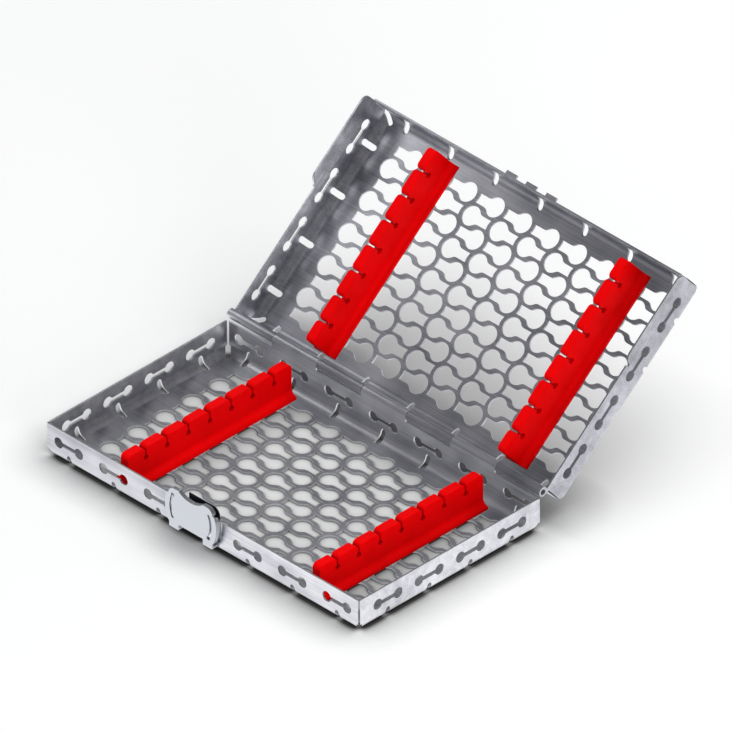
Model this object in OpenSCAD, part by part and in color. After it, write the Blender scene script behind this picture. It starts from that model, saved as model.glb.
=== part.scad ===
// Instrument cassette of folded, perforated sheet, shown open.
// Tray below, lid hinged along the back, four soft comb rails, spring latch in front.
// Millimetres. x runs along the hinge, y from the latch to the hinge, z up.
// The origin is the middle of the tray's underside.

/* [Sheet] */
// Thickness of the sheet
sheet = 0.9; // [0.7:0.05:1.2]
// Outer radius of the bends between floor and walls
bend_r = 5; // [3:0.5:7]

/* [Box] */
// Length along the hinge
body_l = 205; // [160:1:240]
// Depth from the latch to the hinge
body_w = 118; // [100:1:140]
// Height of the tray's walls
tray_h = 17.5; // [15:0.5:22]
// Height of the lid's walls
lid_h = 17.5; // [15:0.5:22]
// Gap between the rims when the lid is shut
rim_gap = 3.9; // [3:0.1:6]
// How far the lid stands open
open_angle = 140; // [0:1:180]

/* [Wall slots] */
// Holes along the long walls
long_slots = 7; // [5:1:9]
// Holes along the short walls
short_slots = 4; // [2:1:5]
// Spacing of the holes in the short walls
short_pitch = 26.8; // [22:0.2:30]
// Radius of a dumbbell hole's round ends
bone_r = 2.8; // [2:0.1:3.5]
// Distance between a dumbbell hole's round ends
bone_span = 13.2; // [10:0.2:16]
// Width of a dumbbell hole's bar
bone_bar = 2.2; // [1.5:0.1:3]
// Dumbbell holes above the tray's underside
tray_bone_z = 10; // [8:0.1:12]
// Dumbbell holes below the lid's top
lid_bone_z = 10.9; // [8:0.1:12]
// Width of the drain slots that cross the bends
drain_w = 3; // [2:0.1:4]
// Length of the drain slots across the bends
drain_len = 7.8; // [6:0.1:9]
// Width of the slit between two walls at a corner
corner_slit = 0.9; // [0.6:0.1:2]
// Radius of the relief slot across a corner's bends
relief_r = 1.2; // [1:0.1:2]

/* [Perforation] */
// Spacing of the holes along a row
hole_pitch = 17.95; // [16:0.05:20]
// Spacing of the rows
row_pitch = 8.87; // [8:0.01:10]
// Least plain margin at the ends of the rows
edge_x = 11; // [9:0.5:16]
// Least plain margin beside the outermost rows
edge_y = 9; // [8:0.5:14]
// Radius of a hole's round head
head_r = 5; // [4:0.05:5.2]
// Half the width of a hole's neck
neck_half = 2.4; // [2:0.05:3]
// Radius of the fillet between head and neck
neck_fillet = 3; // [1:0.1:4]
// Width of metal left round a head
web = 2.05; // [1.5:0.05:3]
// Offset of the whole pattern to the right
pattern_x = 1; // [-2:0.1:2]

/* [Hinge] */
// Outer radius of the rolled knuckles
knuckle_r = 2.5; // [2:0.05:3]
// Radius of the hinge pin
pin_r = 1.5; // [1:0.05:1.9]
// Running clearance between pin and knuckle, on the radius
pin_clear = 0.05; // [0.02:0.01:0.1]
// Hinge axis above the tray's rim
hinge_rise = 2.5; // [1.5:0.1:4]
// Gap between neighbouring knuckles
knuckle_gap = 0.3; // [0.1:0.05:0.6]
// Gap left round the other leaf's knuckles
leaf_gap = 0.5; // [0.3:0.1:1]

/* [Comb rails] */
// Length of a rail
rail_l = 106; // [90:1:107]
// Height of a rail above the floor
rail_h = 18.4; // [14:0.1:20]
// Thickness of a rail's blade
blade_t = 5; // [2.5:0.1:6]
// Offset of the blade from the middle of its foot
blade_offset = 1; // [0:0.1:2]
// Offset of the comb along the rail, against the foot's studs
comb_offset = -0.9; // [-1:0.1:1]
// Half the width of the foot
foot_half = 6.7; // [5:0.1:8]
// Height of the foot's edge
foot_edge = 1.7; // [1:0.1:3]
// Radius of the hollows between foot and blade
foot_hollow = 3.2; // [1:0.1:3.2]
// Number of instrument slots
comb_slots = 7; // [5:1:9]
// Spacing of the instrument slots
comb_pitch = 13.85; // [12:0.05:15]
// Height of the round bottom of a slot
slot_z = 12.7; // [11:0.1:15]
// Radius of the round bottom of a slot
slot_r = 1.5; // [0.8:0.1:2]
// Width of a slot between the lobes
slit_w = 0.8; // [0.5:0.1:1.5]
// Radius of the lobes' corners
lobe_r = 2.4; // [1.5:0.1:3]
// Fit of a rail's studs in the perforation
stud_clear = 0.1; // [0.05:0.05:0.3]

/* [Lid ears and tabs] */
// Depth of the ears below the lid's rim
ear_drop = 4.7; // [4.6:0.1:7]
// Gap between an ear and the tray's wall
ear_gap = 0.25; // [0.15:0.05:0.6]
// Start of the ears, measured from the middle
ear_start = -9.5; // [-20:0.5:0]
// Width of a catch tab
tab_w = 6.8; // [5:0.1:9]
// Spacing of the catch tabs
tab_pitch = 13; // [10:0.5:16]
// Place of the middle catch tab along the rim
tab_x = 1.2; // [-3:0.1:3]
// How far a catch tab stands out
tab_out = 1.8; // [1:0.1:3]

/* [Latch] */
// Place of the latch along the front wall
latch_x = -3.8; // [-8:0.1:8]
// Front face of the latch plate, in front of the wall
latch_out = 4.2; // [3:0.1:6]
// Half the width of the latch plate
latch_half = 16.7; // [14:0.1:20]
// Radius of the bowed sides of the plate
side_r = 18.5; // [17.5:0.1:30]
// Lower edge of the plate between its feet
latch_z0 = 6.6; // [5:0.1:9]
// Top of the plate's two horns above the tray's rim
horn_rise = 8; // [5:0.1:11]
// Top of the plate between the horns, above the tray's rim
saddle_rise = 5.2; // [3:0.1:8]
// Bowed slots from the middle of the plate
arc_x = 13.1; // [10:0.1:14]
// Height of the latch's pivot, where its feet pass through the wall
pivot_z = 4; // [3:0.1:5]
// Distance between the feet
foot_pitch = 22; // [18:0.5:26]
// Width of a foot
foot_w = 6; // [4:0.1:7]
// Depth of the plate's flange
flange = 2.3; // [1.5:0.1:3]
// Distance between the hooks
hook_pitch = 14.2; // [12:0.1:15]
// Width of a hook
hook_w = 5; // [4:0.1:6]
// Relief slot in the wall, to the left of the latch's middle
relief_left = 13.4; // [12:0.1:14]
// Relief slot in the wall, to the right of the latch's middle
relief_right = 15.5; // [15:0.1:17]
// Lower end of the relief slots
relief_z = 9; // [7:0.1:12]
// Half the height of the bowed slots
bow_half = 6.5; // [4:0.1:8]
// Width of the bowed slots
bow_w = 1.4; // [0.8:0.1:2]
// Crest of the leaf spring above the tray's rim
leaf_rise = 5.3; // [4.5:0.1:8]
// Leaf spring's reach to the left of the latch's middle
leaf_left = 6.4; // [6:0.1:9]
// Leaf spring's reach to the right of the latch's middle
leaf_right = 13.4; // [8:0.1:14]
// Leaf spring's reach below its rivets
leaf_drop = 3.4; // [3:0.1:4]
// Distance between the leaf's rivets
rivet_pitch = 9; // [7:0.5:12]
// Height of the rivets
rivet_z = 11; // [10:0.1:13]
// Radius of a rivet's shank
rivet_r = 1.25; // [0.9:0.05:1.6]

/* [Hidden] */
$fn = 48;
fine = 0.02;
closed_h = tray_h + rim_gap + lid_h;
hinge_z = tray_h + hinge_rise;
horn_z = tray_h + horn_rise;
saddle_z = tray_h + saddle_rise;
leaf_z = tray_h + leaf_rise;
hinge_y = body_w / 2 - sheet + knuckle_r;
bore_r = pin_r + pin_clear;
long_pitch = body_l / long_slots;
knuckle_l = body_l / 7;
row_holes = floor((body_l - 2 * edge_x - 2 * head_r) / hole_pitch + 0.5);
half_rows = floor((body_w / 2 - edge_y - head_r) / row_pitch);
first_head = pattern_x - (hole_pitch * (row_holes - 0.5) + 2 * head_r) / 2 + head_r;
rail_left_x = first_head + 1.5 * hole_pitch;
rail_right_x = first_head + (row_holes - 1.5) * hole_pitch;
last_stud = 2 * floor((min(half_rows, floor((rail_l / 2 - head_r) / row_pitch)) + 1) / 2) - 1;
wall_y = body_w / 2;
wall_x = body_l / 2;
ear_x = wall_x + ear_gap;
face_y = -wall_y - latch_out;
latch_mid_z = (latch_z0 + horn_z) / 2 - 0.8;
beside_latch = [for (i = [0 : long_slots - 1]) if (i != (long_slots - 1) / 2) i];

// From the closed lid to the open one
module opened() {
    translate([0, hinge_y, hinge_z])
        rotate([-open_angle, 0, 0])
            translate([0, -hinge_y, -hinge_z]) children();
}

// A box lying on its floor becomes the closed lid
module as_lid() {
    translate([0, 0, closed_h]) mirror([0, 0, 1]) children();
}

// An outline in x and z, swept along y from y0 to y1
module along_y(y0, y1) {
    translate([0, y1, 0]) rotate([90, 0, 0]) linear_extrude(y1 - y0) children();
}

// An outline in y and z, swept along x from x0 to x1
module along_x(x0, x1) {
    translate([x0, 0, 0]) rotate([90, 0, 90]) linear_extrude(x1 - x0) children();
}

// Floor and two walls, joined by bends
module fold_profile(span, h, inset) {
    half = span / 2;
    translate([-half + inset, bend_r]) square([span - 2 * inset, h - bend_r]);
    translate([-half + bend_r, inset]) square([span - 2 * bend_r, bend_r - inset + 1]);
    for (s = [-1, 1]) translate([s * (half - bend_r), bend_r]) circle(bend_r - inset, $fn = 96);
}

module fold_solid(h, inset) {
    intersection() {
        along_y(-wall_y, wall_y) fold_profile(body_l, h, inset);
        along_x(-wall_x, wall_x) fold_profile(body_w, h, inset);
    }
}

// Dumbbell hole
module bone() {
    for (s = [-1, 1]) translate([s * bone_span / 2, 0]) circle(bone_r);
    square([bone_span, bone_bar], center = true);
}

// Stadium, long way along x
module stadium(len, wide) {
    square([len - wide, wide], center = true);
    for (s = [-1, 1]) translate([s * (len - wide) / 2, 0]) circle(wide / 2);
}

// Where the slots of the long and short walls sit
function long_x(i) = (i - (long_slots - 1) / 2) * long_pitch;
function short_y(i) = (i - (short_slots - 1) / 2) * short_pitch;

module long_wall_bones(side, bone_z, places) {
    for (i = places)
        translate([long_x(i), side * (wall_y - sheet / 2), bone_z])
            rotate([90, 0, 0]) linear_extrude(4 * sheet, center = true) bone();
}

module short_wall_bones(side, bone_z) {
    for (i = [0 : short_slots - 1])
        translate([side * (wall_x - sheet / 2), short_y(i), bone_z])
            rotate([90, 0, 90]) linear_extrude(4 * sheet, center = true) bone();
}

// Drain slots across the bends, cut square to the bend's middle
module drain_cutter() {
    rotate([0, 0, 90]) linear_extrude(6, center = true) stadium(drain_len, drain_w);
}

module drains() {
    mid = bend_r * (1 - sqrt(0.5));
    for (side = [-1, 1]) {
        for (i = [0 : long_slots - 1])
            translate([long_x(i), side * (wall_y - mid), mid])
                rotate([side * 45, 0, 0]) drain_cutter();
        for (i = [0 : short_slots - 1])
            translate([side * (wall_x - mid), short_y(i), mid])
                rotate([0, -side * 45, 0]) rotate([0, 0, 90]) drain_cutter();
    }
}

// Slits that part the walls at the corners; they start as wider relief slots across the bends
module corner_slits(h) {
    for (sx = [-1, 1], sy = [-1, 1])
        translate([sx * (wall_x - bend_r), sy * (wall_y - bend_r), -1])
            rotate([0, 0, atan2(sy, sx)]) {
                translate([0, -corner_slit / 2, 0]) cube([2 * bend_r, corner_slit, h + 2]);
                translate([0, -relief_r, 0]) cube([2 * bend_r, 2 * relief_r, bend_r]);
                cylinder(h = bend_r, r = relief_r);
            }
}

// One keyhole of the perforation: round head at the origin, neck along +x
module keyhole() {
    reach = neck_fillet + neck_half;
    fillet_x = sqrt(pow(head_r + neck_fillet, 2) - reach * reach);
    circle(head_r, $fn = 64);
    difference() {
        translate([0, -neck_half]) square([hole_pitch - head_r, 2 * neck_half]);
        translate([hole_pitch, 0]) circle(head_r + web, $fn = 96);
    }
    for (s = [-1, 1])
        difference() {
            polygon([[0, 0], [fillet_x, 0], [fillet_x, s * reach]]);
            translate([fillet_x, s * reach]) circle(neck_fillet);
        }
}

// Rows of keyholes; every second row runs the other way, half a hole along
module perforation() {
    for (j = [-half_rows : half_rows], i = [0 : row_holes - 1])
        translate([first_head + i * hole_pitch, j * row_pitch])
            if (j % 2 == 0) keyhole();
            else translate([hole_pitch / 2, 0]) mirror([1, 0]) keyhole();
}

module folded_box(h) {
    difference() {
        fold_solid(h, 0);
        fold_solid(h + 1, sheet);
        corner_slits(h);
        drains();
        translate([0, 0, -1]) linear_extrude(sheet + 2) perforation();
    }
}

// Knuckle of one leaf; up = 1 where its sheet comes from below
module knuckle_profile(up) {
    difference() {
        union() {
            translate([hinge_y, hinge_z]) circle(knuckle_r);
            if (up > 0) translate([wall_y - sheet, tray_h - 3]) square([sheet, hinge_rise + 3]);
            else translate([wall_y - sheet, hinge_z]) square([sheet, rim_gap - hinge_rise + 1.6]);
        }
        translate([hinge_y, hinge_z]) circle(bore_r);
        translate([wall_y, up > 0 ? hinge_z - knuckle_r - 1 : hinge_z + 0.5])
            square([0.35, knuckle_r + 0.5]);
    }
}

function knuckle_x(i) = -wall_x + i * knuckle_l;

// Knuckles with even numbers belong to the lid, the others to the tray
module knuckles(first, up) {
    for (i = [first : 2 : 6]) {
        left = knuckle_x(i) + (i > 0 ? knuckle_gap / 2 : 0);
        right = knuckle_x(i + 1) - (i < 6 ? knuckle_gap / 2 : 0);
        along_x(left, right) knuckle_profile(up);
    }
}

// Cuts a leaf's rear wall between z0 and z1 beside the other leaf's knuckles
module leaf_cut(first, z0, z1, grow) {
    for (i = [first : 2 : 6])
        translate([knuckle_x(i) - grow, wall_y - 1.5 * sheet, z0])
            cube([knuckle_l + 2 * grow, 2 * sheet, z1 - z0]);
}

module tray_shell() {
    color([0.74, 0.75, 0.78]) {
        difference() {
            folded_box(tray_h);
            long_wall_bones(-1, tray_bone_z, beside_latch);
            long_wall_bones(1, tray_bone_z, [0 : long_slots - 1]);
            for (side = [-1, 1]) short_wall_bones(side, tray_bone_z);
            leaf_cut(0, hinge_z - knuckle_r - leaf_gap, tray_h + 1, knuckle_gap / 2);
            latch_openings();
        }
        knuckles(1, 1);
    }
}

// Slots for the latch's feet, rivet holes and the two relief slots that let the wall spring
module latch_openings() {
    slit = 1.3;
    along_y(-wall_y - 1, -wall_y + 2 * sheet) {
        for (s = [-1, 1]) {
            translate([latch_x + s * foot_pitch / 2, pivot_z]) square([foot_w + 1, 2.6], center = true);
            translate([latch_x + s * rivet_pitch / 2, rivet_z]) circle(rivet_r + 0.05);
        }
        for (x = [latch_x - relief_left, latch_x + relief_right]) {
            translate([x, relief_z]) circle(slit);
            translate([x - slit / 2, relief_z]) square([slit, tray_h]);
        }
    }
}

module lid_shell() {
    ear_top = 3.6;
    color([0.76, 0.77, 0.8])
    opened() {
        difference() {
            as_lid() difference() {
                folded_box(lid_h);
                long_wall_bones(-1, lid_bone_z, [0 : long_slots - 1]);
                long_wall_bones(1, lid_bone_z, [0 : 2 : long_slots - 1]);
                for (side = [-1, 1]) short_wall_bones(side, lid_bone_z);
            }
            leaf_cut(1, tray_h - 1, hinge_z + knuckle_r + leaf_gap, knuckle_gap / 2);
            for (side = [-1, 1])
                translate([side * wall_x - 2, -wall_y - 1, tray_h - 1])
                    cube([4, wall_y + ear_start + 1, rim_gap + 1 + ear_top]);
        }
        knuckles(0, -1);
        for (side = [-1, 1]) ear(side, ear_top);
        for (i = [-1, 0, 1])
            translate([tab_x + i * tab_pitch - tab_w / 2, -wall_y - tab_out, tray_h + rim_gap])
                cube([tab_w, tab_out + sheet, sheet]);
    }
}

// Ear: the wall's rim steps outward and reaches down beside the tray's wall
module ear(side, ear_top) {
    rim = tray_h + rim_gap;
    out = ear_x + sheet;
    low = rim - ear_drop;
    front = -wall_y + 0.6;
    front_r = 4;
    rear_r = 4.6;
    rear = ear_start - rear_r - 1.4;
    intersection() {
        along_y(front, ear_start)
            mirror([side < 0 ? 1 : 0, 0])
                polygon([
                    [wall_x - sheet, rim + ear_top], [wall_x, rim + ear_top],
                    [out, rim + ear_top - 2.8], [out, low], [ear_x, low],
                    [ear_x, rim + ear_top - 3], [wall_x - sheet, rim + ear_top - 0.3]
                ]);
        along_x(-wall_x - 5, wall_x + 5)
            union() {
                translate([-wall_y, rim]) square([wall_y + ear_start, ear_top]);
                translate([front, low + front_r]) square([rear + rear_r - front, ear_drop]);
                translate([front + front_r, low]) square([rear - front - front_r, ear_drop]);
                translate([front + front_r, low + front_r]) circle(front_r);
                translate([rear, low + rear_r]) circle(rear_r);
            }
    }
}

// The pin ends a little inside the outermost knuckles
module hinge_pin() {
    inset = 1.5;
    color([0.62, 0.63, 0.66])
        translate([-wall_x + inset, hinge_y, hinge_z])
            rotate([0, 90, 0]) cylinder(h = body_l - 2 * inset, r = pin_r);
}

// Comb outline in y and z: lobes between slots with round bottoms
module comb_profile() {
    half = rail_l / 2;
    mouth = slit_w / 2 + lobe_r;
    difference() {
        translate([-half, 1]) square([rail_l, rail_h - 1]);
        for (i = [0 : comb_slots - 1])
            translate([(i - (comb_slots - 1) / 2) * comb_pitch, 0]) {
                translate([0, slot_z]) circle(slot_r);
                translate([-slit_w / 2, slot_z]) square([slit_w, rail_h]);
                difference() {
                    translate([-mouth, rail_h - lobe_r]) square([2 * mouth, lobe_r + 1]);
                    for (s = [-1, 1]) translate([s * mouth, rail_h - lobe_r]) circle(lobe_r);
                }
            }
        for (s = [-1, 1])
            difference() {
                translate([s * half - lobe_r, rail_h - lobe_r]) square([2 * lobe_r, lobe_r + 1]);
                translate([s * (half - lobe_r), rail_h - lobe_r]) circle(lobe_r);
            }
    }
}

// Rail on the floor at z = 0: foot, blade beside the foot's middle, studs for the perforation
module comb_rail() {
    face = blade_t / 2;
    translate([0, comb_offset, 0]) {
        along_x(blade_offset - face, blade_offset + face) comb_profile();
        along_y(-rail_l / 2, rail_l / 2) {
            translate([-foot_half, 0]) square([2 * foot_half, foot_edge]);
            difference() {
                translate([blade_offset - face - foot_hollow, foot_edge - 1])
                    square([blade_t + 2 * foot_hollow, foot_hollow + 1]);
                for (s = [-1, 1])
                    translate([blade_offset + s * (face + foot_hollow), foot_edge + foot_hollow])
                        circle(foot_hollow, $fn = 64);
            }
        }
    }
    for (j = [-last_stud, -1, 1, last_stud])
        translate([0, j * row_pitch, -sheet]) cylinder(h = sheet + 1, r = head_r - stud_clear);
}

module rail_in_tray(x) {
    color([0.86, 0.03, 0.06]) translate([x, 0, sheet]) comb_rail();
}

// The same moulding turned over; shut, its lobes face the tray's, tip to tip
module rail_in_lid(x) {
    color([0.86, 0.03, 0.06])
        opened() translate([x, 0, closed_h - sheet]) rotate([180, 0, 0]) comb_rail();
}

module tray_rail_left() { rail_in_tray(rail_left_x); }
module tray_rail_right() { rail_in_tray(rail_right_x); }
module lid_rail_left() { rail_in_lid(rail_left_x); }
module lid_rail_right() { rail_in_lid(rail_right_x); }

// Latch outline in x and z about the plate's middle: bowed sides, two horns, a saddle between
module latch_outline(grow) {
    horn_x = 10.8;
    horn_r = 3.6;
    saddle_r = 13;
    mid = latch_mid_z;
    difference() {
        intersection() {
            translate([side_r - latch_half, mid]) circle(side_r + grow, $fn = 128);
            translate([latch_half - side_r, mid]) circle(side_r + grow, $fn = 128);
            union() {
                translate([-latch_half - 1, latch_z0 - grow])
                    square([2 * latch_half + 2, horn_z - horn_r - latch_z0 + grow]);
                translate([-horn_x, horn_z - 2 * horn_r]) square([2 * horn_x, 2 * horn_r + grow]);
                for (s = [-1, 1]) translate([s * horn_x, horn_z - horn_r]) circle(horn_r + grow);
            }
        }
        translate([0, saddle_z + saddle_r]) circle(saddle_r - grow, $fn = 96);
    }
}

// Bowed slot, concentric with the plate's bowed side
module bowed_slot() {
    bow_r = side_r - (latch_half - arc_x);
    intersection() {
        difference() {
            circle(bow_r + bow_w / 2, $fn = 128);
            circle(bow_r - bow_w / 2, $fn = 128);
        }
        translate([0, -bow_half]) square([bow_r + 2, 2 * bow_half]);
    }
}

module latch_plate() {
    mid = latch_mid_z;
    bow_r = side_r - (latch_half - arc_x);
    bow_end = sqrt(bow_r * bow_r - bow_half * bow_half);
    tab_z = tray_h + rim_gap;
    color([0.8, 0.81, 0.84]) {
        translate([latch_x, 0, 0]) {
            difference() {
                along_y(face_y, face_y + flange) latch_outline(0);
                along_y(face_y + sheet, face_y + flange + 1) latch_outline(-sheet);
                along_y(face_y - 1, face_y + flange + 1)
                    for (s = [-1, 1])
                        mirror([s < 0 ? 1 : 0, 0]) translate([arc_x - bow_r, mid]) {
                            bowed_slot();
                            translate([bow_end, -s * bow_half]) circle(1.1);
                        }
                // Notches in the flange, where the lid's tabs come in
                for (i = [-1, 0, 1]) {
                    notch_x = tab_x + i * tab_pitch - latch_x;
                    translate([notch_x - tab_w / 2 - 0.5, face_y + sheet, tab_z - 0.5])
                        cube([tab_w + 1, flange, sheet + 1]);
                }
            }
            for (s = [-1, 1]) {
                latch_foot(s * foot_pitch / 2);
                // Hook: in from the plate, above a tab of the lid
                translate([s * hook_pitch / 2 - hook_w / 2, face_y, tab_z + sheet + 0.3])
                    cube([hook_w, flange - 0.4, sheet]);
            }
        }
    }
}

// Foot: down from the plate, in through the wall and up behind it
module latch_foot(x) {
    low = pivot_z - sheet / 2;
    along_x(x - foot_w / 2, x + foot_w / 2) {
        translate([face_y, low]) square([sheet, latch_z0 - low + 0.6]);
        translate([face_y, low]) square([latch_out + 3, sheet]);
        translate([face_y + latch_out + 3 - sheet, low]) square([sheet, 2.2]);
    }
}

// Leaf spring against the inside of the front wall; its crest steps in and stands above the rim
module latch_spring() {
    leaf_t = 0.6;
    leaf_y = -wall_y + sheet + fine;
    step = 0.4;
    left = latch_x - leaf_left;
    right = latch_x + leaf_right;
    crest_r = 4;
    color([0.16, 0.16, 0.18]) {
        along_y(leaf_y, leaf_y + leaf_t)
            difference() {
                translate([left, rivet_z - leaf_drop])
                    square([right - left, tray_h - rivet_z - 1.4 + leaf_drop]);
                for (s = [-1, 1]) translate([latch_x + s * rivet_pitch / 2, rivet_z]) circle(rivet_r + 0.05);
            }
        along_y(leaf_y + step, leaf_y + step + leaf_t) {
            translate([left, tray_h - 3]) square([right - left, leaf_z - crest_r - tray_h + 3]);
            translate([left, leaf_z - crest_r - 1]) square([right - left - crest_r, crest_r + 1]);
            translate([right - crest_r, leaf_z - crest_r]) circle(crest_r);
        }
    }
}

// Two rivets hold the leaf to the wall
module latch_rivets() {
    grip = sheet + 0.6 + 2 * fine;
    head = 0.7;
    color([0.7, 0.71, 0.74])
        for (s = [-1, 1])
            translate([latch_x + s * rivet_pitch / 2, -wall_y - fine, rivet_z]) rotate([-90, 0, 0]) {
                translate([0, 0, -head]) cylinder(h = head, r = rivet_r + 0.75);
                translate([0, 0, -head]) cylinder(h = grip + 2 * head, r = rivet_r);
                translate([0, 0, grip + fine]) cylinder(h = head - fine, r = rivet_r + 0.75);
            }
}

tray_shell();
lid_shell();
hinge_pin();
tray_rail_left();
tray_rail_right();
lid_rail_left();
lid_rail_right();
latch_plate();
latch_spring();
latch_rivets();
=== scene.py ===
"""Instrument cassette of perforated stainless sheet with silicone comb rails, standing open."""
import math

import bmesh
import bpy
from mathutils import Matrix, Vector


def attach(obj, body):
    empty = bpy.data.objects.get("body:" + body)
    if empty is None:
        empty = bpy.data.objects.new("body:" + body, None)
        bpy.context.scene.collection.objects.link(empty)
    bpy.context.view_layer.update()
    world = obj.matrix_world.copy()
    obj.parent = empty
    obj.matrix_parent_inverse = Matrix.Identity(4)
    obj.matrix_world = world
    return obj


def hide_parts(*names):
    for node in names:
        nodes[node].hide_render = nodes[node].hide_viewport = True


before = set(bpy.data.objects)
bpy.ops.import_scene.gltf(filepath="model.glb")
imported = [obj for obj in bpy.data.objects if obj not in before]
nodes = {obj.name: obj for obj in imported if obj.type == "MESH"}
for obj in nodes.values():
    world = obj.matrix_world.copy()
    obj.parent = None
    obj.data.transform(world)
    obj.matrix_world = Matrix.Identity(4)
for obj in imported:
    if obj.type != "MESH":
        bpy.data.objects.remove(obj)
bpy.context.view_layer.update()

MM = 0.001
LID_LEAN = math.radians(140)  # how far the lid stands open
TRAY_HALF_LENGTH = 102.5 * MM
TRAY_HALF_WIDTH = 59 * MM


def linear(hex_colour):
    """An sRGB hex colour as linear RGBA."""
    parts = [int(hex_colour[i:i + 2], 16) / 255 for i in (1, 3, 5)]
    return [c / 12.92 if c <= 0.04045 else ((c + 0.055) / 1.055) ** 2.4 for c in parts] + [1]


def add(tree, kind, settings=None, links=None):
    """Adds a node with its settings and its incoming links; a ramp's stops are (position, hex colour)."""
    node = tree.nodes.new(kind)
    for name, value in (settings or {}).items():
        if name == "stops":
            elements = node.color_ramp.elements
            while len(elements) < len(value):
                elements.new(0.5)
            for element, (position, colour) in zip(elements, value):
                element.position = position
                element.color = linear(colour)
        elif isinstance(name, int) or name in node.inputs:
            node.inputs[name].default_value = value
        else:
            setattr(node, name, value)
    for name, source in (links or {}).items():
        tree.links.new(source, node.inputs[name])
    return node


def new_material(name):
    """A material with an empty node tree."""
    material = bpy.data.materials.new(name)
    material.use_nodes = True
    material.node_tree.nodes.clear()
    return material, material.node_tree


def for_the_eye(tree, path):
    """1 for a ray that comes from the camera, straight or through something clear."""
    return add(tree, "ShaderNodeMath", {"operation": "MAXIMUM"},
               {0: path.outputs["Is Camera Ray"], 1: path.outputs["Is Transmission Ray"]}).outputs["Value"]


# Materials

def brushed_steel(name, lean, light, dark, left_painted_highlight):
    """Stainless sheet, belt-ground along its length: fine lines along x that spread the gloss across them.

    lean is how far the sheet is turned about x; the last argument sets how much paler its colour is painted
    towards its left end, a painted highlight.
    """
    material, tree = new_material(name)
    place = add(tree, "ShaderNodeTexCoord").outputs["Object"]
    level = add(tree, "ShaderNodeMapping", {"Rotation": (lean, 0, 0)}, {"Vector": place}).outputs["Vector"]
    # Grinding lines 40 mm long and 0.5 mm apart; a real belt's are 0.1 mm apart, too fine to show
    lines = add(tree, "ShaderNodeMapping", {"Scale": (1 / (40 * MM), 1 / (0.5 * MM), 1 / (0.5 * MM))},
                {"Vector": level}).outputs["Vector"]
    grind = add(tree, "ShaderNodeTexNoise", {"Scale": 1.0, "Detail": 4.0, "Roughness": 0.65},
                {"Vector": lines}).outputs["Fac"]
    # Broader bands of 4 mm, where the belt took more or less
    bands = add(tree, "ShaderNodeMapping", {"Scale": (1 / (120 * MM), 1 / (4 * MM), 1 / (4 * MM))},
                {"Vector": level}).outputs["Vector"]
    belt = add(tree, "ShaderNodeTexNoise", {"Scale": 1.0, "Detail": 2.0}, {"Vector": bands}).outputs["Fac"]
    brushing = add(tree, "ShaderNodeMix", {"Factor": 0.35}, {"A": grind, "B": belt}).outputs["Result"]
    # Water marks of 30 mm, as washing leaves them
    marks = add(tree, "ShaderNodeTexNoise", {"Scale": 1 / (30 * MM), "Detail": 3.0},
                {"Vector": place}).outputs["Fac"]
    clouded = add(tree, "ShaderNodeMix", {"Factor": 0.4}, {"A": brushing, "B": marks}).outputs["Result"]
    tone = add(tree, "ShaderNodeValToRGB", {"stops": [(0.36, dark), (0.64, light)]},
               {"Fac": clouded}).outputs["Color"]
    # Painted highlight: the colour grows paler towards the left end
    along = add(tree, "ShaderNodeSeparateXYZ", links={"Vector": place}).outputs["X"]
    highlight_toward_left = add(tree, "ShaderNodeMapRange",
               {"From Min": -105 * MM, "From Max": -45 * MM, "To Min": left_painted_highlight, "To Max": 1.0},
               {"Value": along}).outputs["Result"]
    colour = add(tree, "ShaderNodeVectorMath", {"operation": "SCALE"},
                 {"Vector": tone, "Scale": highlight_toward_left}).outputs["Vector"]
    roughness = add(tree, "ShaderNodeMapRange",
                    {"From Min": 0.3, "From Max": 0.7, "To Min": 0.32, "To Max": 0.46},
                    {"Value": grind}).outputs["Result"]
    relief = add(tree, "ShaderNodeBump", {"Strength": 0.25, "Distance": 0.04 * MM},
                 {"Height": grind}).outputs["Normal"]
    # The grain's direction: along x, but across it on the end walls, whose faces look along x
    face = add(tree, "ShaderNodeNewGeometry").outputs["True Normal"]
    facing = add(tree, "ShaderNodeSeparateXYZ", links={"Vector": face}).outputs["X"]
    squarely = add(tree, "ShaderNodeMath", {"operation": "ABSOLUTE"}, {0: facing}).outputs["Value"]
    is_end = add(tree, "ShaderNodeMath", {"operation": "GREATER_THAN", 1: 0.7},
                 {0: squarely}).outputs["Value"]
    grain = add(tree, "ShaderNodeMix",
                {"data_type": "VECTOR", 4: (1, 0, 0), 5: (0, math.cos(lean), math.sin(-lean))},
                {"Factor": is_end}).outputs[1]
    shader = add(tree, "ShaderNodeBsdfPrincipled",
                 {"Metallic": 1.0, "Anisotropic": 0.5, "Anisotropic Rotation": 0.25},
                 {"Base Color": colour, "Roughness": roughness, "Normal": relief, "Tangent": grain})
    add(tree, "ShaderNodeOutputMaterial", links={"Surface": shader.outputs["BSDF"]})
    return material


def plain_steel(name, colour, roughness, metallic=1.0):
    """Drawn or pressed stainless, fine grained with no direction, so its gloss is even and soft."""
    material, tree = new_material(name)
    place = add(tree, "ShaderNodeTexCoord").outputs["Object"]
    # Grain of 0.6 mm; the real one, about 0.05 mm, is too fine to show
    grain = add(tree, "ShaderNodeTexNoise", {"Scale": 1 / (0.6 * MM), "Detail": 3.0},
                {"Vector": place}).outputs["Fac"]
    uneven = add(tree, "ShaderNodeMapRange",
                 {"From Min": 0.3, "From Max": 0.7, "To Min": roughness - 0.05, "To Max": roughness + 0.05},
                 {"Value": grain}).outputs["Result"]
    shader = add(tree, "ShaderNodeBsdfPrincipled", {"Base Color": linear(colour), "Metallic": metallic},
                 {"Roughness": uneven})
    add(tree, "ShaderNodeOutputMaterial", links={"Surface": shader.outputs["BSDF"]})
    return material


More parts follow.
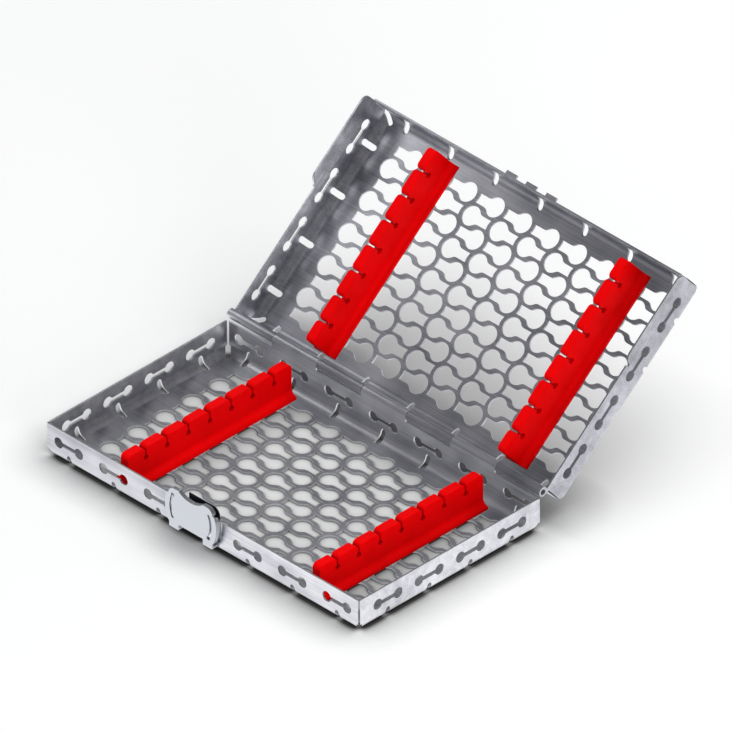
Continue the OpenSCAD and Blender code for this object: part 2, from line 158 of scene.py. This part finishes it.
def silicone(name):
    """Moulded silicone rubber, dyed through: even colour, soft sheen, faint mould grain."""
    material, tree = new_material(name)
    place = add(tree, "ShaderNodeTexCoord").outputs["Object"]
    # Clouds of 12 mm, where the dye mixed a little less
    cloud = add(tree, "ShaderNodeTexNoise", {"Scale": 1 / (12 * MM), "Detail": 2.0},
                {"Vector": place}).outputs["Fac"]
    tone = add(tree, "ShaderNodeValToRGB", {"stops": [(0.3, "#EC0002"), (0.7, "#FA0004")]},
               {"Fac": cloud}).outputs["Color"]
    # The mould's spark-eroded grain, drawn at 0.7 mm because its own 0.1 mm is too fine to show
    grain = add(tree, "ShaderNodeTexNoise", {"Scale": 1 / (0.7 * MM), "Detail": 3.0},
                {"Vector": place}).outputs["Fac"]
    relief = add(tree, "ShaderNodeBump", {"Strength": 0.15, "Distance": 0.05 * MM},
                 {"Height": grain}).outputs["Normal"]
    # Bounced light meets a dull tone instead, because the paper and the steel show no red in the photograph
    bounced = add(tree, "ShaderNodeLightPath").outputs["Is Diffuse Ray"]
    dye = add(tree, "ShaderNodeMix", {"data_type": "RGBA", 7: linear("#5A3030")},
              {"Factor": bounced, 6: tone}).outputs[2]
    shader = add(tree, "ShaderNodeBsdfPrincipled", {"Roughness": 0.55, "Specular IOR Level": 0.04},
                 {"Base Color": dye, "Normal": relief})
    add(tree, "ShaderNodeOutputMaterial", links={"Surface": shader.outputs["BSDF"]})
    return material


# The lid is the same steel as the tray; its colour is painted darker, a painted shade, and paler at its left
# end, a painted highlight
tray_steel = brushed_steel("brushed_stainless_tray", 0.0, "#F2F2F6", "#A9AAB0", left_painted_highlight=1.0)
darker_painted_lid_steel = brushed_steel("brushed_stainless_lid_painted_darker", LID_LEAN, "#D6D6DC", "#86878E", left_painted_highlight=1.4)
# Painted highlight: the rounded edges are white and mirror nothing, so a pale line shows round each hole
edge_painted_highlight = plain_steel("white_painted_edge_highlight", "#FFFFFF", 0.5, metallic=0.0)
latch_steel = plain_steel("satin_stainless_latch", "#C8CBD0", 0.38)
wire_steel = plain_steel("drawn_stainless_wire", "#C4C6CA", 0.3)
spring_steel = plain_steel("dark_spring_steel", "#3A3B40", 0.35)
red_silicone = silicone("red_moulded_silicone")


# Pieces: merged copies of the CAD nodes with their edges broken, as tumbling and moulding leave them

def softened(node, body, finish, edge, steps, edge_highlight_finish=None):
    """A copy of a CAD node whose edges are rounded over a width of edge; it stands in for the node."""
    solid = bmesh.new()
    solid.from_mesh(nodes[node].data)
    bmesh.ops.remove_doubles(solid, verts=solid.verts, dist=0.001 * MM)
    bmesh.ops.dissolve_limit(solid, angle_limit=math.radians(0.5), verts=solid.verts, edges=solid.edges,
                             delimit={"NORMAL"})
    for face in solid.faces:
        face.smooth = True
        face.material_index = 0
    mesh = bpy.data.meshes.new(node + "_softened")
    solid.to_mesh(mesh)
    solid.free()
    mesh.materials.append(finish)
    mesh.materials.append(edge_highlight_finish or finish)
    piece = bpy.data.objects.new(node + "_softened", mesh)
    bpy.context.scene.collection.objects.link(piece)
    rounding = piece.modifiers.new("rounding", "BEVEL")
    rounding.limit_method = "ANGLE"
    rounding.angle_limit = math.radians(30)
    rounding.width = edge
    rounding.segments = steps
    rounding.use_clamp_overlap = True
    # The rounded edges take the second material, the painted edge highlight where one is given
    rounding.material = 1
    # Flat faces keep their own normals, so the flats stay flat and the bends between them smooth
    shading = piece.modifiers.new("shading", "WEIGHTED_NORMAL")
    shading.mode = "FACE_AREA"
    shading.weight = 50
    shading.keep_sharp = True
    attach(piece, body)
    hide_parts(node)
    return piece


softened("tray_shell", "tray", tray_steel, edge=0.42 * MM, steps=1, edge_highlight_finish=edge_painted_highlight)
softened("lid_shell", "lid", darker_painted_lid_steel, edge=0.3 * MM, steps=1, edge_highlight_finish=edge_painted_highlight)
softened("latch_plate", "latch", latch_steel, edge=0.25 * MM, steps=2, edge_highlight_finish=edge_painted_highlight)
for body in ("tray", "lid"):
    for side in ("left", "right"):
        rail = softened(f"{body}_rail_{side}", body, red_silicone, edge=0.9 * MM, steps=4)
        rail.visible_glossy = False  # the ground steel shows no red in the photograph
for name, finish in (("hinge_pin", wire_steel), ("latch_spring", spring_steel), ("latch_rivets", wire_steel)):
    nodes[name].data.materials.clear()
    nodes[name].data.materials.append(finish)


# Floor

FLOOR_SIZE = 6.0
floor_mesh = bmesh.new()
bmesh.ops.create_grid(floor_mesh, x_segments=1, y_segments=1, size=FLOOR_SIZE / 2)
floor_data = bpy.data.meshes.new("floor")
floor_mesh.to_mesh(floor_data)
floor_mesh.free()
floor = bpy.data.objects.new("floor", floor_data)
floor.location.z = -0.05 * MM
bpy.context.scene.collection.objects.link(floor)

paper, tree = new_material("white_paper_sweep")
# Painted shade on the paper, darkening its own colour: first towards whatever stands on it, found by ambient
# occlusion
wide_shade = add(tree, "ShaderNodeAmbientOcclusion", {"samples": 8, "Distance": 25 * MM}).outputs["AO"]
close_shade = add(tree, "ShaderNodeAmbientOcclusion", {"samples": 8, "Distance": 3.5 * MM}).outputs["AO"]
painted_occlusion = add(tree, "ShaderNodeMath", {"operation": "MULTIPLY"},
           {0: wide_shade, 1: close_shade}).outputs["Value"]
# then a painted contact shadow by the distance from the tray's outline: darkest where it touches, lighter
# inside and outside.
# The ramp's middle is the outline, and its ends are 8 mm inside it and 8 mm outside it
INSET = 8 * MM
on_paper = add(tree, "ShaderNodeTexCoord").outputs["Object"]
mirrored = add(tree, "ShaderNodeVectorMath", {"operation": "ABSOLUTE"}, {0: on_paper}).outputs["Vector"]
beyond = add(tree, "ShaderNodeVectorMath",
             {"operation": "SUBTRACT", 1: (TRAY_HALF_LENGTH - INSET, TRAY_HALF_WIDTH - INSET, 0)},
             {0: mirrored}).outputs["Vector"]
outside = add(tree, "ShaderNodeVectorMath", {"operation": "MAXIMUM", 1: (0, 0, 0)},
              {0: beyond}).outputs["Vector"]
reach = add(tree, "ShaderNodeVectorMath", {"operation": "LENGTH"}, {0: outside}).outputs["Value"]
outward = add(tree, "ShaderNodeMath", {"operation": "DIVIDE", 1: 2 * INSET}, {0: reach}).outputs["Value"]
contact_shadow = add(tree, "ShaderNodeValToRGB",
              {"stops": [(0.0, "#E6E6E6"), (0.25, "#C8C8C8"), (0.47, "#8A8A8A"), (0.53, "#D6D6D6"),
                         (0.63, "#F6F6F6"), (0.78, "#FFFFFF")]},
              {"Fac": outward}).outputs["Color"]
# and a painted shadow behind the tray, under the lid, fading towards the rear and to both sides
rearward = add(tree, "ShaderNodeSeparateXYZ", links={"Vector": on_paper}).outputs["Y"]
sideways = add(tree, "ShaderNodeSeparateXYZ", links={"Vector": mirrored}).outputs["X"]
lid_shadow_ramp = add(tree, "ShaderNodeMapRange",
                {"From Min": 85 * MM, "From Max": 200 * MM, "To Min": 0.47, "To Max": 1.0},
                {"Value": rearward}).outputs["Result"]
between_sides = add(tree, "ShaderNodeMapRange",
                    {"interpolation_type": "SMOOTHSTEP", "From Min": 55 * MM, "From Max": 140 * MM,
                     "To Min": 1.0, "To Max": 0.0},
                    {"Value": sideways}).outputs["Result"]
behind_tray = add(tree, "ShaderNodeMapRange",
                  {"From Min": TRAY_HALF_WIDTH, "From Max": TRAY_HALF_WIDTH + 7 * MM},
                  {"Value": rearward}).outputs["Result"]
covered = add(tree, "ShaderNodeMath", {"operation": "MULTIPLY"},
              {0: between_sides, 1: behind_tray}).outputs["Value"]
lid_shade = add(tree, "ShaderNodeMix", {"A": 1.0}, {"Factor": covered, "B": lid_shadow_ramp}).outputs["Result"]
painted = add(tree, "ShaderNodeMath", {"operation": "MULTIPLY"}, {0: contact_shadow, 1: lid_shade}).outputs["Value"]
shade = add(tree, "ShaderNodeMath", {"operation": "MULTIPLY"}, {0: painted_occlusion, 1: painted}).outputs["Value"]
# The paper's colour, darkened by all this painted shade
tone = add(tree, "ShaderNodeMix", {"data_type": "RGBA", 6: linear("#000000"), 7: linear("#F4F4F2")},
           {"Factor": shade}).outputs[2]
matte = add(tree, "ShaderNodeBsdfDiffuse", links={"Color": tone}).outputs["BSDF"]
# The eye gets a little more than the lamps give, so that open paper is white
path = add(tree, "ShaderNodeLightPath")
extra = add(tree, "ShaderNodeMath", {"operation": "MULTIPLY", 1: 0.14},
            {0: for_the_eye(tree, path)}).outputs["Value"]
lift = add(tree, "ShaderNodeMath", {"operation": "MULTIPLY"}, {0: extra, 1: shade}).outputs["Value"]
glow = add(tree, "ShaderNodeEmission", {"Color": (1, 1, 1, 1)}, {"Strength": lift}).outputs["Emission"]
lit_paper = add(tree, "ShaderNodeAddShader", links={0: matte, 1: glow}).outputs["Shader"]
# Gloss shows a painted reflection: a glowing white sheet, with painted shade under the tray, that gives way
# to a grey room
away = add(tree, "ShaderNodeVectorMath", {"operation": "LENGTH"}, {0: on_paper}).outputs["Value"]
sheet_end = add(tree, "ShaderNodeMapRange",
                {"From Min": 0.25, "From Max": 0.7, "To Min": 1.2, "To Max": 0.25},
                {"Value": away}).outputs["Result"]
reflected_shade_under_tray = add(tree, "ShaderNodeValToRGB", {"stops": [(0.44, "#A6A6A6"), (0.52, "#FFFFFF")]},
          {"Fac": outward}).outputs["Color"]
sheet_white = add(tree, "ShaderNodeMath", {"operation": "MULTIPLY"}, {0: sheet_end, 1: reflected_shade_under_tray}).outputs["Value"]
painted_reflection_glow = add(tree, "ShaderNodeEmission", {"Color": linear("#FDFDFF")},
            {"Strength": sheet_white}).outputs["Emission"]
surface = add(tree, "ShaderNodeMixShader",
              links={0: path.outputs["Is Glossy Ray"], 1: lit_paper, 2: painted_reflection_glow}).outputs["Shader"]
add(tree, "ShaderNodeOutputMaterial", links={"Surface": surface})
floor_data.materials.append(paper)


# Light

world = bpy.data.worlds.new("studio")
bpy.context.scene.world = world
world.use_nodes = True
tree = world.node_tree
tree.nodes.clear()
# What gloss shows: a grey room with soft unevenness, darker on the right
toward = add(tree, "ShaderNodeTexCoord").outputs["Generated"]
unevenness = add(tree, "ShaderNodeTexNoise", {"Scale": 2.2, "Detail": 1.0}, {"Vector": toward}).outputs["Fac"]
walls = add(tree, "ShaderNodeValToRGB", {"stops": [(0.35, "#717173"), (0.65, "#949496")]},
            {"Fac": unevenness}).outputs["Color"]
rightward = add(tree, "ShaderNodeSeparateXYZ", links={"Vector": toward}).outputs["X"]
strength = add(tree, "ShaderNodeMapRange", {"From Min": -0.1, "From Max": 0.4, "To Min": 1.0, "To Max": 0.75},
               {"Value": rightward}).outputs["Result"]
mirrored_room = add(tree, "ShaderNodeBackground", links={"Color": walls, "Strength": strength})
room_light = add(tree, "ShaderNodeBackground", {"Color": linear("#FAFBFF"), "Strength": 0.60})
white = add(tree, "ShaderNodeBackground", {"Color": (1, 1, 1, 1), "Strength": 1.0})
path = add(tree, "ShaderNodeLightPath")
unseen = add(tree, "ShaderNodeMixShader",
             links={0: path.outputs["Is Glossy Ray"], 1: room_light.outputs["Background"],
                    2: mirrored_room.outputs["Background"]})
sky = add(tree, "ShaderNodeMixShader",
          links={0: for_the_eye(tree, path), 1: unseen.outputs["Shader"], 2: white.outputs["Background"]})
add(tree, "ShaderNodeOutputWorld", links={"Surface": sky.outputs["Shader"]})


def soft_box(name, place, aim, size, watts):
    """A square soft box that looks at aim."""
    lamp = bpy.data.lights.new(name, "AREA")
    lamp.size = size
    lamp.energy = watts
    box = bpy.data.objects.new(name, lamp)
    box.location = place
    box.rotation_euler = (Vector(aim) - Vector(place)).to_track_quat("-Z", "Y").to_euler()
    box.visible_camera = False
    bpy.context.scene.collection.objects.link(box)
    return box


# Three boxes light the paper and the silicone, and the steel doesn't mirror them
MIDDLE = (0, 0.04, 0.03)
for name, place, size, watts in (("key_rear_right", (0.5, 0.9, 1.7), 2.0, 17),
                                 ("fill_front", (-0.5, -1.5, 0.45), 0.8, 3),
                                 ("fill_right", (1.5, -0.5, 0.4), 0.8, 9)):
    soft_box(name, place, MIDDLE, size, watts).visible_glossy = False
# One small box shows in the steel alone, at the lid's left end and the left of the hinge
LID_LEFT_END = (-0.09, 0.13, 0.08)
soft_box("glint_left", (-0.25, 0.04, 0.26), LID_LEFT_END, 0.1, 0.05).visible_diffuse = False


# Camera: no perspective to speak of, so parallel; the frame and the origin's place in it are the photograph's

PIXELS = 732
PIXELS_PER_MM = 2.168
ORIGIN_AT = (293.7, 491.3)
CLEAR_OF_OBJECT = 1.5
azimuth = math.radians(45.5)
elevation = math.radians(34.9)
roll = math.radians(-0.39)

back = Vector((math.sin(azimuth) * math.cos(elevation), -math.cos(azimuth) * math.cos(elevation),
               math.sin(elevation)))
level_right = Vector((math.cos(azimuth), math.sin(azimuth), 0))
level_up = back.cross(level_right)
right = level_right * math.cos(roll) + level_up * math.sin(roll)
up = back.cross(right)
across = (PIXELS / 2 - ORIGIN_AT[0]) / PIXELS_PER_MM * MM
above = (ORIGIN_AT[1] - PIXELS / 2) / PIXELS_PER_MM * MM
camera_data = bpy.data.cameras.new("camera")
camera_data.type = "ORTHO"
camera_data.ortho_scale = PIXELS / PIXELS_PER_MM * MM
camera_data.clip_start = 0.01
camera_data.clip_end = 20
camera = bpy.data.objects.new("camera", camera_data)
camera.matrix_world = Matrix((
    (right.x, up.x, back.x, 0), (right.y, up.y, back.y, 0), (right.z, up.z, back.z, 0), (0, 0, 0, 1)))
camera.location = right * across + up * above + back * CLEAR_OF_OBJECT
bpy.context.scene.collection.objects.link(camera)
bpy.context.scene.camera = camera
bpy.context.scene.view_settings.view_transform = "Standard"
